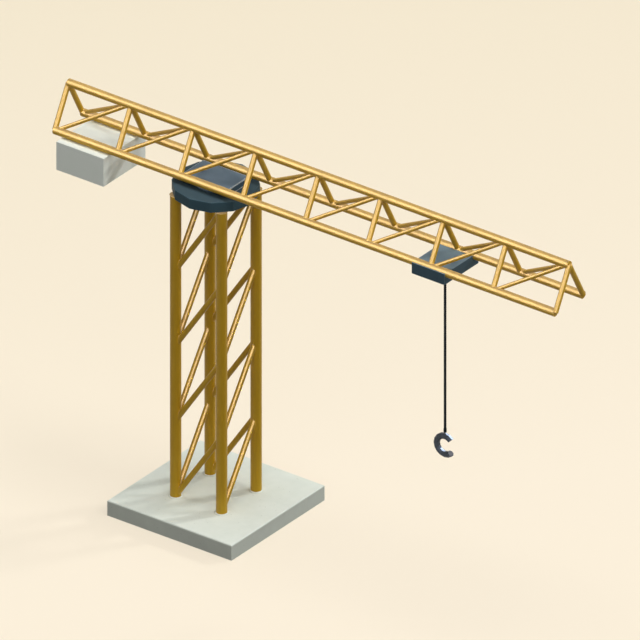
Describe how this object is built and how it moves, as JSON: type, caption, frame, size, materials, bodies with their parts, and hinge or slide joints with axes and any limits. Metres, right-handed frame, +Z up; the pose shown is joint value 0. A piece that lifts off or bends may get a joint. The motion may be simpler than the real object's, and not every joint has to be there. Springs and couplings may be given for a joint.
{
  "type": "tower crane",
  "caption": "Tower crane with a braced mast on a concrete slab, a slewing lattice jib with a counterweight, and a trolley carrying a hook on a rope.",
  "frame": {"origin": "middle of the slab's underside, on the mast's centre line and the slewing axis", "axes": "+Z up the mast, +X along the jib from the counterweight towards the hook at rest, the crane's front faces -Y"},
  "size_m": [17.568, 4.32, 11.9658],
  "materials": {
    "yellow_paint": "satin mustard-yellow paint on welded steel tube",
    "cast_concrete": "pale grey cast concrete, trowelled on top",
    "slate_paint": "matt slate blue paint on steel plate",
    "teal_paint": "semi-gloss dark teal paint on steel plate",
    "bearing_steel": "turned and oiled steel",
    "wire_rope": "greased stranded steel wire",
    "forged_steel": "forged and blackened steel with ground flats"
  },
  "bodies": {
    "tower": {"base_slab": "cast_concrete", "mast_leg_front_left": "yellow_paint", "mast_leg_front_right": "yellow_paint", "mast_leg_rear_right": "yellow_paint", "mast_leg_rear_left": "yellow_paint", "mast_bracing_front": "yellow_paint", "mast_bracing_right": "yellow_paint", "mast_bracing_rear": "yellow_paint", "mast_bracing_left": "yellow_paint", "mast_head": "teal_paint", "slewing_ring": "bearing_steel"},
    "jib": {"turret": "slate_paint", "jib_top_chord": "yellow_paint", "jib_bottom_chord_front": "yellow_paint", "jib_bottom_chord_rear": "yellow_paint", "jib_frame_1": "yellow_paint", "jib_frame_2": "yellow_paint", "jib_frame_3": "yellow_paint", "jib_frame_4": "yellow_paint", "jib_frame_5": "yellow_paint", "jib_frame_6": "yellow_paint", "jib_frame_7": "yellow_paint", "jib_frame_8": "yellow_paint", "jib_frame_9": "yellow_paint", "jib_diagonals_1": "yellow_paint", "jib_diagonals_2": "yellow_paint", "jib_diagonals_3": "yellow_paint", "jib_diagonals_4": "yellow_paint", "jib_diagonals_5": "yellow_paint", "jib_diagonals_6": "yellow_paint", "jib_diagonals_7": "yellow_paint", "jib_diagonals_8": "yellow_paint", "counterweight": "cast_concrete", "counterweight_hangers": "yellow_paint"},
    "trolley": {"trolley": "slate_paint", "rope_guide": "bearing_steel", "hoist_rope": "wire_rope"},
    "hook_swivel": {"rope_socket": "bearing_steel"},
    "hook": {"hook": "forged_steel"}
  },
  "joints": [
    {"name": "slew", "type": "hinge", "parent": "tower", "child": "jib", "pos_m": [0, 0, 0], "axis": [0, 0, 1], "continuous": true},
    {"name": "trolley_travel", "type": "slide", "parent": "jib", "child": "trolley", "axis": [1, 0, 0], "range_m": [-5.9, 3.5]},
    {"name": "hoist", "type": "slide", "parent": "trolley", "child": "hook_swivel", "axis": [0, 0, 1], "range_m": [-3.7, 4.8], "deforming": ["hoist_rope"]},
    {"name": "hook_turn", "type": "hinge", "parent": "hook_swivel", "child": "hook", "pos_m": [7.97, 0, 4.6718], "axis": [0, 0, 1], "continuous": true}
  ]
}
